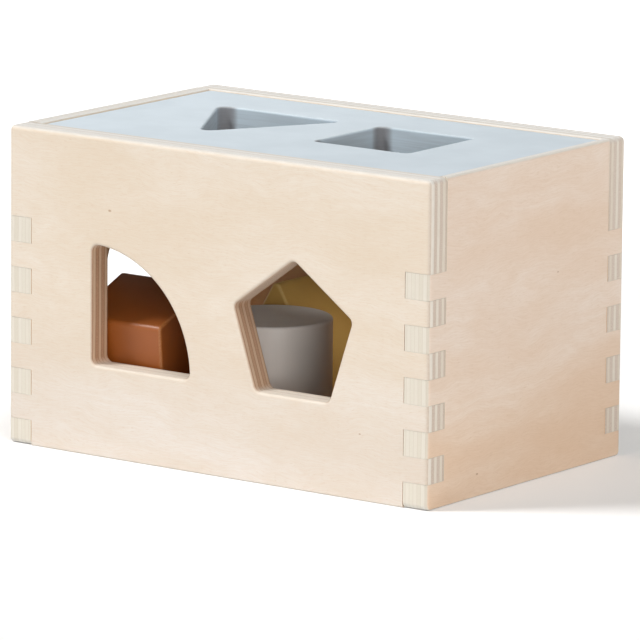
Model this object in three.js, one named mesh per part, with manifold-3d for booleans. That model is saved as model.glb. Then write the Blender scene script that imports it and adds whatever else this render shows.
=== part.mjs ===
// Plywood shape sorter: a finger-jointed box with a lift-off lid and five loose blocks.
// Millimetres, +Z up, origin under the middle of the box, front wall towards -Y.

import * as THREE from 'three';
import { mergeVertices } from 'three/addons/utils/BufferGeometryUtils.js';
import Module from 'manifold-3d';

const wasm = await Module();
wasm.setup();

// Box, outside sizes
const boxLength = 180;
const boxDepth = 117;
const boxHeight = 113;
const wallThickness = 9.8;
const floorThickness = 9.8;

// Finger joints, counted up from the bottom; the end walls own the first finger
const fingerHeight = 9;
const fingerCount = 9;
const seamGap = 0.3;

// Rounding of the outside edges
const uprightEdgeRadius = 1.5;
const rimEdgeRadius = 2.2;

// Lid and the ledges that carry it
const lidThickness = 9.8;
const lidRecess = 0.5;
const lidPlay = 0.4;
const leftLip = 6.4;
const rightLip = 3.4;
const seatGap = 0.3;

// Holes: sharp-cornered sizes, with places measured from the middle of the box
const holeCorner = 2.5;
const quarterHoleRadius = 42.6;
const quarterHoleX = -53.4;
const quarterHoleSill = 32.2;
const pentagonHoleRadius = 26.2;
const pentagonHoleX = 33.2;
const pentagonHoleHeight = 53.1;
const roundHoleDiameter = 44.2;
const roundHoleY = 7;
const roundHoleHeight = 54.5;
const triangleHoleSide = 55.6;
const triangleHoleX = -32.6;
const squareHoleSide = 40;
const squareHoleX = 30.4;
const lidHolesBackY = 23.6;

// Blocks: each is its own hole less the clearance on every side
const blockClearance = 0.6;
const blockLength = 38;
const blockCorner = 2.2;
const blockEndEdge = 1;
const blockSpacing = 0.4;

// Where the blocks lie
const pentagonLean = THREE.MathUtils.degToRad(13);
const pentagonFromLeftWall = 11;
const triangleRidgeX = -25;
const cylinderToTriangle = 1.8;
const squareToQuarter = 4;

// Fineness of round stretches
const arcSteps = 4;
const roundSteps = 24;
const edgeSteps = 2;

// Paint and timber
const plywood = { color: 0xe6d8c0, roughness: 0.62, metalness: 0 };
const lidPaint = { color: 0xccd6dc, roughness: 0.5, metalness: 0 };
const brownStain = { color: 0x8a5a38, roughness: 0.55, metalness: 0 };
const greyPaint = { color: 0xb8b4b6, roughness: 0.55, metalness: 0 };
const olivePaint = { color: 0xa08a45, roughness: 0.55, metalness: 0 };
const slatePaint = { color: 0x7f96a3, roughness: 0.55, metalness: 0 };
const clayPaint = { color: 0xb5765c, roughness: 0.55, metalness: 0 };

// Planes and places that several pieces share
const halfLength = boxLength / 2;
const halfDepth = boxDepth / 2;
const innerX = halfLength - wallThickness;
const innerY = halfDepth - wallThickness;
const lidTop = boxHeight - lidRecess;
const lidUnderside = lidTop - lidThickness;
const ledgeHeight = lidUnderside - seatGap;
const blockFloor = floorThickness + seatGap;
const triangleFront = innerY - blockSpacing - blockLength;

// Solids and meshes

function toSolid(geometry) {
  geometry.deleteAttribute('normal');
  geometry.deleteAttribute('uv');
  const merged = mergeVertices(geometry);
  return new wasm.Manifold(new wasm.Mesh({
    numProp: 3,
    vertProperties: merged.getAttribute('position').array,
    triVerts: Uint32Array.from(merged.index.array),
  }));
}

function toGeometry(solid) {
  const mesh = solid.getMesh();
  const geometry = new THREE.BufferGeometry();
  geometry.setAttribute('position', new THREE.BufferAttribute(mesh.vertProperties, mesh.numProp));
  geometry.setIndex(new THREE.BufferAttribute(mesh.triVerts, 1));
  return geometry;
}

function namedMesh(name, geometry, finish) {
  geometry.computeVertexNormals();
  const mesh = new THREE.Mesh(geometry, new THREE.MeshStandardMaterial(finish));
  mesh.name = name;
  return mesh;
}

// Extrusions: an outline stands in one plane and is carried along the axis across it, from start to end

const outlineFrames = {
  x: new THREE.Matrix4().makeBasis(axisOf(0, 1, 0), axisOf(0, 0, 1), axisOf(1, 0, 0)),
  y: new THREE.Matrix4().makeBasis(axisOf(1, 0, 0), axisOf(0, 0, 1), axisOf(0, -1, 0)),
  z: new THREE.Matrix4(),
};

function axisOf(x, y, z) {
  return new THREE.Vector3(x, y, z);
}

function extrudeAlong(axis, shape, start, end, endEdge = 0) {
  const geometry = new THREE.ExtrudeGeometry(shape, {
    depth: end - start - 2 * endEdge,
    curveSegments: arcSteps,
    bevelEnabled: endEdge > 0,
    bevelThickness: endEdge,
    bevelSize: endEdge,
    bevelOffset: -endEdge,
    bevelSegments: edgeSteps,
  });
  geometry.translate(0, 0, endEdge);
  geometry.applyMatrix4(outlineFrames[axis]);
  // The frame across Y runs from back to front, so its outline stands at the far end
  return geometry.translate(axis === 'x' ? start : 0, axis === 'y' ? end : 0, axis === 'z' ? start : 0);
}

// Outlines

// A polygon with its corners rounded: an arc of the given radius in each corner, tangent to both sides.
function roundedPolygon(corners, radius, Outline = THREE.Shape) {
  const outline = new Outline();
  corners.forEach((corner, i) => {
    const before = corners[(i + corners.length - 1) % corners.length].clone().sub(corner).normalize();
    const after = corners[(i + 1) % corners.length].clone().sub(corner).normalize();
    const halfAngle = Math.acos(before.dot(after)) / 2;
    const centre = before.clone().add(after).setLength(radius / Math.sin(halfAngle)).add(corner);
    const startAngle = Math.atan2(before.x, -before.y);
    outline.absarc(centre.x, centre.y, radius, startAngle, startAngle + Math.PI - 2 * halfAngle, false);
  });
  outline.closePath();
  return outline;
}

function rectangleCorners(width, height, centreX, centreY) {
  const signs = [[-1, -1], [1, -1], [1, 1], [-1, 1]];
  return signs.map(([x, y]) => new THREE.Vector2(centreX + x * width / 2, centreY + y * height / 2));
}

function regularCorners(count, radius, firstAngle, centreX, centreY) {
  return Array.from({ length: count }, (_, i) => {
    const angle = firstAngle + i * 2 * Math.PI / count;
    return new THREE.Vector2(centreX + radius * Math.cos(angle), centreY + radius * Math.sin(angle));
  });
}

// A quarter circle about its square corner, drawn in by the inset on both legs and on the arc.
function quarterRound(radius, inset, corner, originX, originY, Outline = THREE.Shape) {
  const arcRadius = radius - inset;
  const near = inset + corner;
  const far = Math.sqrt((arcRadius - corner) ** 2 - near ** 2);
  const turn = Math.atan2(near, far);
  const outline = new Outline();
  outline.absarc(originX + near, originY + near, corner, Math.PI, 1.5 * Math.PI, false);
  outline.absarc(originX + far, originY + near, corner, -Math.PI / 2, turn, false);
  for (let i = 1; i < roundSteps; i += 1) {
    const angle = turn + (Math.PI / 2 - 2 * turn) * i / roundSteps;
    outline.lineTo(originX + arcRadius * Math.cos(angle), originY + arcRadius * Math.sin(angle));
  }
  outline.absarc(originX + near, originY + far, corner, Math.PI / 2 - turn, Math.PI, false);
  outline.closePath();
  return outline;
}

// Outline of a jointed wall: both ends step in and out with the fingers, up to a tall finger at the rim.
function fingeredOutline(outer, inner, ownsFirst) {
  const owns = (i) => (i < fingerCount ? (i % 2 === 0) === ownsFirst : !ownsFirst);
  const reach = (i) => (owns(i) ? outer : inner);
  const side = [new THREE.Vector2(reach(0), 0)];
  for (let i = 1; i <= fingerCount; i += 1) {
    if (owns(i) !== owns(i - 1)) {
      const level = i * fingerHeight + (owns(i) ? seamGap : -seamGap) / 2;
      side.push(new THREE.Vector2(reach(i - 1), level), new THREE.Vector2(reach(i), level));
    }
  }
  side.push(new THREE.Vector2(reach(fingerCount), boxHeight));
  const otherSide = side.map((point) => new THREE.Vector2(-point.x, point.y)).reverse();
  return new THREE.Shape([...side, ...otherSide]);
}

// Box panels

function roundedBlank(axis, width, height, centreUp, radius, halfSpan) {
  const outline = roundedPolygon(rectangleCorners(width, height, 0, centreUp), radius);
  return toSolid(extrudeAlong(axis, outline, -halfSpan, halfSpan));
}

// The outside of the whole box with its edges eased: three rounded outlines carried across each other.
const easedBox = roundedBlank('y', boxLength, boxHeight, boxHeight / 2, rimEdgeRadius, boxDepth)
  .intersect(roundedBlank('x', boxDepth, boxHeight, boxHeight / 2, rimEdgeRadius, boxLength))
  .intersect(roundedBlank('z', boxLength, boxDepth, 0, uprightEdgeRadius, 2 * boxHeight));

function longWall(side, holes) {
  const outline = fingeredOutline(halfLength, innerX - seamGap, false);
  outline.holes.push(...holes);
  const start = side < 0 ? -halfDepth : innerY;
  return toGeometry(toSolid(extrudeAlong('y', outline, start, start + wallThickness)).intersect(easedBox));
}

// An end wall, with the ledge for the lid cut into its inner side behind a lip.
function endWall(side, lip, holes) {
  const outline = fingeredOutline(halfDepth, innerY - seamGap, true);
  outline.holes.push(...holes);
  const start = side < 0 ? -halfLength : innerX;
  const panel = toSolid(extrudeAlong('x', outline, start, start + wallThickness)).intersect(easedBox);
  const rebate = new THREE.BoxGeometry(wallThickness, boxDepth, boxHeight);
  rebate.translate(side * (halfLength - lip - wallThickness / 2), 0, ledgeHeight + boxHeight / 2);
  return toGeometry(panel.subtract(toSolid(rebate)));
}

function floorPanel() {
  const corners = rectangleCorners(2 * (innerX - seamGap), 2 * (innerY - seamGap), 0, 0);
  return extrudeAlong('z', new THREE.Shape(corners), 0, floorThickness);
}

const triangleHoleDepth = triangleHoleSide * Math.sin(Math.PI / 3);
const triangleHoleRadius = triangleHoleSide / Math.sqrt(3);
const pointUp = Math.PI / 2;
const pointDown = -Math.PI / 2;

function frontHoles() {
  const pentagon = regularCorners(5, pentagonHoleRadius, pointUp, pentagonHoleX, pentagonHoleHeight);
  return [
    quarterRound(quarterHoleRadius, 0, holeCorner, quarterHoleX, quarterHoleSill, THREE.Path),
    roundedPolygon(pentagon, holeCorner, THREE.Path),
  ];
}

function roundHole() {
  const rim = regularCorners(2 * roundSteps, roundHoleDiameter / 2, 0, roundHoleY, roundHoleHeight);
  return new THREE.Path(rim);
}

function lidPanel() {
  const left = -halfLength + leftLip + lidPlay;
  const right = halfLength - rightLip - lidPlay;
  const panel = rectangleCorners(right - left, 2 * (innerY - lidPlay), (left + right) / 2, 0);
  const outline = new THREE.Shape(panel);
  const triangleY = lidHolesBackY - triangleHoleDepth / 3;
  const triangle = regularCorners(3, triangleHoleRadius, pointDown, triangleHoleX, triangleY);
  const squareY = lidHolesBackY - squareHoleSide / 2;
  const square = rectangleCorners(squareHoleSide, squareHoleSide, squareHoleX, squareY);
  outline.holes.push(roundedPolygon(triangle, holeCorner, THREE.Path));
  outline.holes.push(roundedPolygon(square, holeCorner, THREE.Path));
  return extrudeAlong('z', outline, lidUnderside, lidTop);
}

// Blocks, each made about its own middle and then laid in the box

function pentagonBlock() {
  const cornerRadius = pentagonHoleRadius - blockClearance / Math.cos(Math.PI / 5);
  const outline = roundedPolygon(regularCorners(5, cornerRadius, pointUp, 0, 0), blockCorner);
  const solid = extrudeAlong('x', outline, 0, blockLength, blockEndEdge);
  const block = namedMesh('pentagon_block', solid, brownStain);
  // Leaning back on its rear bottom edge, with its widest edge against the front wall
  const arcCentreRadius = cornerRadius - blockCorner / Math.cos(Math.PI / 5);
  const drop = arcCentreRadius * Math.cos(Math.PI / 5 - pentagonLean) + blockCorner;
  const reachForward = arcCentreRadius * Math.cos(Math.PI / 10 + pentagonLean) + blockCorner;
  block.rotation.x = -pentagonLean;
  block.position.set(-innerX + pentagonFromLeftWall, -innerY + seatGap + reachForward, blockFloor + drop);
  return block;
}

function triangleBlock() {
  const side = triangleHoleSide - 2 * Math.sqrt(3) * blockClearance;
  const outline = roundedPolygon(regularCorners(3, side / Math.sqrt(3), pointUp, 0, 0), blockCorner);
  const solid = extrudeAlong('y', outline, 0, blockLength, blockEndEdge);
  const block = namedMesh('triangle_block', solid, olivePaint);
  block.position.set(triangleRidgeX, triangleFront, blockFloor + side / (2 * Math.sqrt(3)));
  return block;
}

function cylinderBlock() {
  const radius = roundHoleDiameter / 2 - blockClearance;
  const outline = new THREE.Shape(regularCorners(2 * roundSteps, radius, 0, 0, 0));
  const solid = extrudeAlong('z', outline, 0, blockLength, blockEndEdge);
  const block = namedMesh('cylinder_block', solid, greyPaint);
  const x = -innerX + pentagonFromLeftWall + blockLength + blockSpacing + radius;
  block.position.set(x, triangleFront - cylinderToTriangle - radius, blockFloor);
  return block;
}

function quarterBlock() {
  const outline = quarterRound(quarterHoleRadius, blockClearance, blockCorner, 0, 0);
  const solid = extrudeAlong('z', outline, 0, blockLength, blockEndEdge);
  const block = namedMesh('quarter_block', solid, clayPaint);
  // Its square corner stands in the back right corner of the box
  block.rotation.z = Math.PI;
  const inset = blockSpacing - blockClearance;
  block.position.set(innerX - inset, innerY - inset, blockFloor);
  return block;
}

function squareBlock() {
  const side = squareHoleSide - 2 * blockClearance;
  const outline = roundedPolygon(rectangleCorners(side, side, 0, 0), blockCorner);
  const solid = extrudeAlong('z', outline, 0, blockLength, blockEndEdge);
  const block = namedMesh('square_block', solid, slatePaint);
  const quarterFront = innerY - blockSpacing + blockClearance - (quarterHoleRadius - blockClearance);
  block.position.set(innerX - blockSpacing - side / 2, quarterFront - squareToQuarter - side / 2, blockFloor);
  return block;
}

const box = new THREE.Group();
box.add(
  namedMesh('front_wall', longWall(-1, frontHoles()), plywood),
  namedMesh('back_wall', longWall(1, []), plywood),
  namedMesh('left_wall', endWall(-1, leftLip, [roundHole()]), plywood),
  namedMesh('right_wall', endWall(1, rightLip, []), plywood),
  namedMesh('floor_panel', floorPanel(), plywood),
);

const blocks = new THREE.Group();
blocks.add(pentagonBlock(), cylinderBlock(), triangleBlock(), squareBlock(), quarterBlock());

const sorter = new THREE.Group();
sorter.add(box, namedMesh('lid_panel', lidPanel(), lidPaint), blocks);

export default sorter;
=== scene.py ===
"""A shape sorter: a finger-jointed plywood box, a painted lid that drops in, and five painted blocks.

Every piece is a slab: closed outlines carried through a thickness, with the rounding of each edge swept
along its outline. Sizes are in metres, in the part's own frame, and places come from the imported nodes.
"""
import math

import bmesh
import bpy
import numpy as np
from mathutils import Matrix, Vector
from mathutils.geometry import tessellate_polygon


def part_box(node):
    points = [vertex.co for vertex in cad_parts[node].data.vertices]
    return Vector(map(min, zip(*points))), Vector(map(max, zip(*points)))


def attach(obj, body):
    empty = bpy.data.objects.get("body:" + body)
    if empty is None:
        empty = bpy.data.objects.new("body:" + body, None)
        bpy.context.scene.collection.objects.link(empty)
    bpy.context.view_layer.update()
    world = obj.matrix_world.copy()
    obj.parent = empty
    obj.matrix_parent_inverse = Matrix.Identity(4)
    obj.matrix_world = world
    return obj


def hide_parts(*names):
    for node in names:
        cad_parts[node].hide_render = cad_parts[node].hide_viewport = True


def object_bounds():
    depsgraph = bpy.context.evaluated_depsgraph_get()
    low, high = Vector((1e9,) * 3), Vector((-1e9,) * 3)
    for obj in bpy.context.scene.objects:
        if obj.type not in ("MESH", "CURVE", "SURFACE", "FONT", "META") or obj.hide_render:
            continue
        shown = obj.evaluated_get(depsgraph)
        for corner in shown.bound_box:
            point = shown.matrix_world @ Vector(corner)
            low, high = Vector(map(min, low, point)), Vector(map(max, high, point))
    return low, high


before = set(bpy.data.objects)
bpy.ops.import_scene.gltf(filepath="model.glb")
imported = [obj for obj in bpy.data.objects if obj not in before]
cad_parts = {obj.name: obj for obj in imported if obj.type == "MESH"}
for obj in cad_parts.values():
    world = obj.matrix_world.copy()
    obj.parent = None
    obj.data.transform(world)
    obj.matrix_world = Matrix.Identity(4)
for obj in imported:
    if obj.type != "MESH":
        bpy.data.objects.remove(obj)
cad_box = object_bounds()

MM = 0.001

# Edges: how far each kind of edge is rounded
RIM_ROUND = 1.6 * MM
RIM_CORNER = 1.8 * MM
END_RIM_ROUND = 1.2 * MM
INNER_RIM_ROUND = 0.8 * MM
UPRIGHT_ROUND = 1.6 * MM
FOOT_ROUND = 0.6 * MM
FOOT_CORNER = 2.2 * MM
HOLE_ROUND = 1.1 * MM
SEAM_ROUND = 0.06 * MM
LIP_ROUND = 0.6 * MM
LID_ROUND = 0.8 * MM
LID_HOLE_ROUND = 0.8 * MM
BLOCK_END_ROUND = 1.1 * MM
ROUND_STEPS = 6
CORNER_STEPS = 8
CIRCLE_STEPS = 128
FLAT_BAND = 0.2 * MM
SHARP_TURN = math.radians(35)
MERGE_GAP = 0.001 * MM

# Joinery: nine equal fingers, with the long walls' top fingers taking what is left
FINGER_HEIGHT = 9 * MM
FINGER_COUNT = 9
CAD_SEAM_GAP = 0.3 * MM
SEAM_GAP = 0.2 * MM
FINGER_GAP = 0.025 * MM
LID_PLAY = 0.4 * MM
LID_SEAT = 0.3 * MM
LID_CORNER = 1.2 * MM

# Holes in the front, the left end and the lid
HOLE_CORNER = 2.5 * MM
TRIANGLE_CORNER = 3.2 * MM
QUARTER_RADIUS = 42.6 * MM
QUARTER_X = -53.4 * MM
QUARTER_SILL = 32.2 * MM
PENTAGON_RADIUS = 26.2 * MM
PENTAGON_X = 33.2 * MM
PENTAGON_HEIGHT = 53.1 * MM
ROUND_RADIUS = 22.1 * MM
ROUND_Y = 7 * MM
ROUND_HEIGHT = 54.5 * MM
TRIANGLE_SIDE = 55.6 * MM
TRIANGLE_X = -32.6 * MM
SQUARE_SIDE = 40 * MM
SQUARE_X = 30.4 * MM
LID_HOLES_BACK = 23.6 * MM

# Blocks: each is its hole drawn in by the clearance
CLEARANCE = 0.6 * MM
BLOCK_CORNER = 2.2 * MM
PENTAGON_LEAN = math.radians(13)

# The curve of a screen's colours
SCREEN_WHITE = 255
SCREEN_KNEE = 0.04045
SCREEN_SLOPE = 12.92
SCREEN_OFFSET = 0.055
SCREEN_POWER = 2.4

# Plywood: seven plies, with thinner ones on the faces, in millimetres
FACE_PLY = 0.9
INNER_PLY = 1.6

# Camera, solved on the box's edges in the picture
EYE = (1.39953, -1.91224, 0.50982)
LENS = 388.66
SENSOR = 36.0
LOOK_RIGHT = (0.80626636, 0.59147694, 0.00946528)
LOOK_DOWN = (0.12116217, -0.1494573, -0.98131659)
LOOK_AHEAD = (-0.57901148, 0.79234938, -0.19216702)

# The axes, as places in a point and as directions
X, Y, Z = range(3)
X_AXIS = np.array([1.0, 0.0, 0.0])
Y_AXIS = np.array([0.0, 1.0, 0.0])
Z_AXIS = np.array([0.0, 0.0, 1.0])


def corners_of(node):
    """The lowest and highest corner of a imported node, as arrays."""
    low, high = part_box(node)
    return np.array(low), np.array(high)


BOX_LOW, BOX_HIGH = (np.array(corner) for corner in cad_box)
WALL = corners_of("front_wall")[1][Y] - BOX_LOW[Y]
HALF_LENGTH = BOX_HIGH[X]
HALF_DEPTH = BOX_HIGH[Y]
HEIGHT = BOX_HIGH[Z]


class Outline:
    """A closed outline with the material on its left, and each side's rounding at the front and the back."""

    def __init__(self, points, front, back):
        self.points = np.asarray(points, float)
        self.front = np.array(np.broadcast_to(front, len(self.points)), float)
        self.back = np.array(np.broadcast_to(back, len(self.points)), float)


def arc(centre, radius, start, end, steps):
    """Points at even angles from start to end: centre + radius (cos, sin)."""
    angle = np.linspace(start, end, steps + 1)
    return np.asarray(centre) + radius * np.stack([np.cos(angle), np.sin(angle)], axis=1)


def circle(centre, radius):
    """A full turn of points round the centre, the last one left out."""
    return arc(centre, radius, 0, 2 * math.pi, CIRCLE_STEPS)[:-1]


def rounded_polygon(corners, radius, steps=CORNER_STEPS):
    """A convex polygon with an arc at each corner.

    The arc's centre lies the radius inside both sides, so it is back from the corner by radius tan(turn / 2)
    along the side that comes in, and its angle sweeps the turn between the two sides.
    """
    corners = np.asarray(corners, float)
    side = corners - np.roll(corners, 1, axis=0)
    along = side / np.linalg.norm(side, axis=1, keepdims=True)
    heading = np.arctan2(along[:, 1], along[:, 0])
    turn = (np.roll(heading, -1) - heading) % (2 * math.pi)
    inside = np.stack([-along[:, 1], along[:, 0]], axis=1)
    centre = corners - along * radius * np.tan(turn / 2)[:, None] + inside * radius
    angle = heading[:, None] - math.pi / 2 + turn[:, None] * np.linspace(0, 1, steps + 1)
    round_points = np.stack([np.cos(angle), np.sin(angle)], axis=2)
    return (centre[:, None] + radius * round_points).reshape(-1, 2)


def rectangle(low, high):
    """The four corners of an upright rectangle, anticlockwise."""
    return [(low[0], low[1]), (high[0], low[1]), (high[0], high[1]), (low[0], high[1])]


def regular_corners(count, radius, first):
    """The corners of a regular polygon, anticlockwise from the angle of the first."""
    return arc((0, 0), radius, first, first + 2 * math.pi, count)[:-1]


def quarter_round(radius, inset, corner):
    """A quarter disc between the +u and +v axes, drawn in by inset, with its three corners rounded.

    A corner on the arc is a circle that touches the straight side and the arc from inside: its centre is
    inset + corner from the side and radius - inset - corner from the disc's centre.
    """
    edge = inset + corner
    reach = math.sqrt((radius - inset - corner) ** 2 - edge ** 2)
    tilt = math.atan2(edge, reach)
    right = math.pi / 2
    return np.concatenate([
        arc((edge, edge), corner, math.pi, 1.5 * math.pi, CORNER_STEPS),
        arc((reach, edge), corner, -right, tilt, CORNER_STEPS),
        arc((0, 0), radius - inset, tilt, right - tilt, CIRCLE_STEPS // 4)[1:-1],
        arc((edge, reach), corner, right - tilt, math.pi, CORNER_STEPS),
    ])


def inward(points, before, after):
    """How far each point moves in when the side before it moves in by before and the side after it by after.

    The move m meets both sides, so m . n1 = before and m . n2 = after with n1 and n2 their inward normals.
    On a bend too gentle to solve that way it is the mean distance along the mean normal.
    """
    side = np.roll(points, -1, axis=0) - points
    side = side / np.linalg.norm(side, axis=1, keepdims=True)
    n2 = np.stack([-side[:, 1], side[:, 0]], axis=1)
    n1 = np.roll(n2, 1, axis=0)
    cross = n1[:, 0] * n2[:, 1] - n1[:, 1] * n2[:, 0]
    mean = n1 + n2
    gentle = mean * ((before + after) / np.sum(mean * mean, axis=1))[:, None]
    divisor = np.where(np.abs(cross) < math.sin(SHARP_TURN), 1.0, cross)
    exact = np.stack([before * n2[:, 1] - after * n1[:, 1], after * n1[:, 0] - before * n2[:, 0]], axis=1)
    sharp = np.abs(cross) >= math.sin(SHARP_TURN)
    return np.where(sharp[:, None], exact / divisor[:, None], gentle)


def with_landings(outline):
    """The outline with a point added beside each sharp corner, on the side that is rounded less.

    It stands back from the corner by the larger rounding, so that this rounding ends there instead of
    tapering off along the whole side.
    """
    points = outline.points
    side = np.roll(points, -1, axis=0) - points
    length = np.linalg.norm(side, axis=1, keepdims=True)
    along = side / length
    before = np.roll(along, 1, axis=0)
    sharp = np.abs(before[:, 0] * along[:, 1] - before[:, 1] * along[:, 0]) >= math.sin(SHARP_TURN)
    most = np.maximum(outline.front, outline.back)
    first_step = np.where(sharp, np.maximum(np.roll(most, 1) - most, 0), 0)
    last_step = np.where(np.roll(sharp, -1), np.maximum(np.roll(most, -1) - most, 0), 0)
    slots = np.stack([
        points,
        points + along * (first_step + FLAT_BAND)[:, None],
        points + along * (length[:, 0] - last_step - FLAT_BAND)[:, None],
    ], axis=1)
    kept = np.stack([np.ones(len(points), bool), first_step > 0, last_step > 0], axis=1)
    copies = kept.sum(axis=1)
    return Outline(slots[kept], np.repeat(outline.front, copies), np.repeat(outline.back, copies))


class Rebate:
    """A step cut into the back of a slab's top: the thickness of the lip that stays, and its drop."""

    def __init__(self, lip, drop):
        self.lip = lip
        self.drop = drop


def cut_off(points, level):
    """The points, with those above a level brought down to it."""
    return np.column_stack([points[:, 0], np.minimum(points[:, 1], level)])


def sweep(outline, thickness, rebate=None):
    """Rings of (u, v, depth) that carry an outline from the front face round its edge to the back face.

    At angle t of a rounding of radius r the ring is drawn in by r (1 - sin t) and lies r (1 - cos t) deep. A
    narrow flat ring stands on either side of each rounding. A rebate cuts the outline off at its ledge from
    the depth of its lip on. Also gives each ring's mark for edge rubbing and a painted highlight, sin 2t of
    its rounding, and how far it is down the cut edge, sin t.
    """
    points = outline.points
    front_in = inward(points, np.roll(outline.front, 1), outline.front)
    back_in = inward(points, np.roll(outline.back, 1), outline.back)
    band_in = inward(points, np.full(len(points), FLAT_BAND), np.full(len(points), FLAT_BAND))
    front = np.maximum(np.roll(outline.front, 1), outline.front)
    back = np.maximum(np.roll(outline.back, 1), outline.back)
    angle = np.linspace(0, math.pi / 2, ROUND_STEPS + 1)
    in_share = 1 - np.sin(angle)
    deep_share = 1 - np.cos(angle)
    arris_rub_and_highlight = np.sin(2 * angle)
    cut = np.sin(angle)
    back_band = band_in.copy()
    rim = points[:, 1].max()
    ledge = rim
    lip_rings = []
    if rebate:
        ledge = rim - rebate.drop
        top = points[:, 1] > rim - FLAT_BAND / 2
        flank = ~top & (points[:, 1] > ledge - FLAT_BAND / 2)
        for side in (-1, 1):
            corner = np.argmax(np.where(top, side * points[:, 0], -np.inf))
            folded = flank & (side * points[:, 0] > 0)
            back_in[folded] = back_in[corner]
            back_band[folded] = band_in[corner]
        lip_depth = rebate.lip - LIP_ROUND * in_share
        lip_rings = [(cut_off(points, rim - LIP_ROUND * low), np.full(len(points), deep), 0.0, 1.0)
                     for low, deep in zip(deep_share, lip_depth)]
        lip_rings.append((cut_off(points, ledge), np.full(len(points), rebate.lip), 0.0, 1.0))
    rings = [(points + front_in + band_in, np.zeros(len(points)), 0.0, 0.0)]
    rings += [(points + front_in * i, front * d, w, c)
              for i, d, w, c in zip(in_share, deep_share, arris_rub_and_highlight, cut)]
    rings.append((points, front + FLAT_BAND, 0.0, 1.0))
    rings += lip_rings
    points = cut_off(points, ledge)
    rings.append((points, thickness - back - FLAT_BAND, 0.0, 1.0))
    rings += [(points + back_in * i, thickness - back * d, w, c)
              for i, d, w, c in zip(in_share[::-1], deep_share[::-1], arris_rub_and_highlight[::-1], cut[::-1])]
    rings.append((points + back_in + back_band, np.full(len(points), thickness), 0.0, 0.0))
    grid = np.stack([np.column_stack([uv, depth]) for uv, depth, _, _ in rings])
    # Edge mark at the middle of each rounding: rubbed wear and a painted highlight
    size = np.minimum(np.maximum(front, back) / MM, 1.0)
    rub_and_highlight = np.stack([w * size for _, _, w, _ in rings])
    routed = np.stack([np.full(len(points), c) for _, _, _, c in rings])
    return grid, rub_and_highlight, routed


def tube_faces(rings, count, first):
    """Quads between neighbouring rings and neighbouring points, numbered from first, facing out."""
    number = first + np.arange(rings * count).reshape(rings, count)
    after = np.roll(number, -1, axis=1)
    return np.stack([number[:-1], number[1:], after[1:], after[:-1]], axis=-1).reshape(-1, 4)


def cap_faces(loops, numbers, upward):
    """Triangles over the outer loop less the holes, all wound the same way."""
    flat = np.concatenate(loops)
    triangles = np.array(tessellate_polygon([loop.tolist() for loop in loops]))
    a, b, c = (flat[triangles[:, k]] for k in range(3))
    area = (b[:, 0] - a[:, 0]) * (c[:, 1] - a[:, 1]) - (b[:, 1] - a[:, 1]) * (c[:, 0] - a[:, 0])
    wrong = (area > 0) != upward
    triangles[wrong] = triangles[wrong][:, ::-1]
    return np.concatenate(numbers)[triangles]


def slab(name, outlines, thickness, axes, origin, rebate=None):
    """A closed slab: the outer outline and the holes carried along axes[2], and a cap on each face.

    A point of the rings is origin + u axes[0] + v axes[1] + depth axes[2].
    """
    vertices, arris_rub_and_highlight, routed, faces = [], [], [], []
    front_loops, back_loops, front_numbers, back_numbers = [], [], [], []
    first = 0
    for place, outline in enumerate(outlines):
        grid, rub_and_highlight, cut = sweep(outline, thickness, rebate if place == 0 else None)
        rings, count = grid.shape[:2]
        vertices.append(grid.reshape(-1, 3))
        arris_rub_and_highlight.append(rub_and_highlight.ravel())
        routed.append(cut.ravel() * (place > 0))
        faces += tube_faces(rings, count, first).tolist()
        front_loops.append(grid[0, :, :2])
        back_loops.append(grid[-1, :, :2])
        front_numbers.append(np.arange(first, first + count))
        first += rings * count
        back_numbers.append(np.arange(first - count, first))
    faces += cap_faces(front_loops, front_numbers, True).tolist()
    faces += cap_faces(back_loops, back_numbers, False).tolist()
    placed = np.concatenate(vertices) @ np.stack(axes) + np.asarray(origin)
    marks = {"edge_wear_and_highlight": np.concatenate(arris_rub_and_highlight), "routed": np.concatenate(routed)}
    return finished_mesh(name, placed, faces, marks)


def finished_mesh(name, vertices, faces, marks):
    """A smooth-shaded object with sharp edges kept, repeated points merged and its marks as attributes."""
    mesh = bpy.data.meshes.new(name)
    mesh.from_pydata(vertices.tolist(), [], faces)
    for mark, values in marks.items():
        mesh.attributes.new(mark, "FLOAT", "POINT").data.foreach_set("value", values)
    merged = bmesh.new()
    merged.from_mesh(mesh)
    bmesh.ops.remove_doubles(merged, verts=merged.verts, dist=MERGE_GAP)
    merged.to_mesh(mesh)
    merged.free()
    mesh.shade_smooth()
    mesh.set_sharp_from_angle(angle=SHARP_TURN)
    piece = bpy.data.objects.new(name, mesh)
    bpy.context.scene.collection.objects.link(piece)
    return piece


def fingered(outer, inner, owns_lowest, rim):
    """A wall's outline from below: a flat foot, fingers up both ends and a flat rim.

    Each band of height reaches to outer if the wall owns that finger and to inner if its neighbour does.
    """
    levels = np.append(np.arange(FINGER_COUNT + 1) * FINGER_HEIGHT, HEIGHT)
    owned = (np.arange(FINGER_COUNT + 1) % 2 == 0) == owns_lowest
    reach = np.where(owned, outer, inner - SEAM_GAP)
    step = np.where(owned[1:], FINGER_GAP, -FINGER_GAP)
    levels[1:-1] += step
    up = np.stack([np.repeat(reach, 2), np.stack([levels[:-1], levels[1:]], axis=1).ravel()], axis=1)
    upright = np.where(owned, UPRIGHT_ROUND, SEAM_ROUND)
    climb = np.stack([upright, np.full(len(upright), SEAM_ROUND)], axis=1).ravel()
    climb[-1] = rim
    down = up[::-1] * (-1, 1)
    fall = np.append(climb[:-1][::-1], FOOT_ROUND)
    back = np.full(len(up) * 2, SEAM_ROUND)
    back[len(up) - 1] = INNER_RIM_ROUND
    return Outline(np.concatenate([up, down]), np.concatenate([climb, fall]), back)


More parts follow.
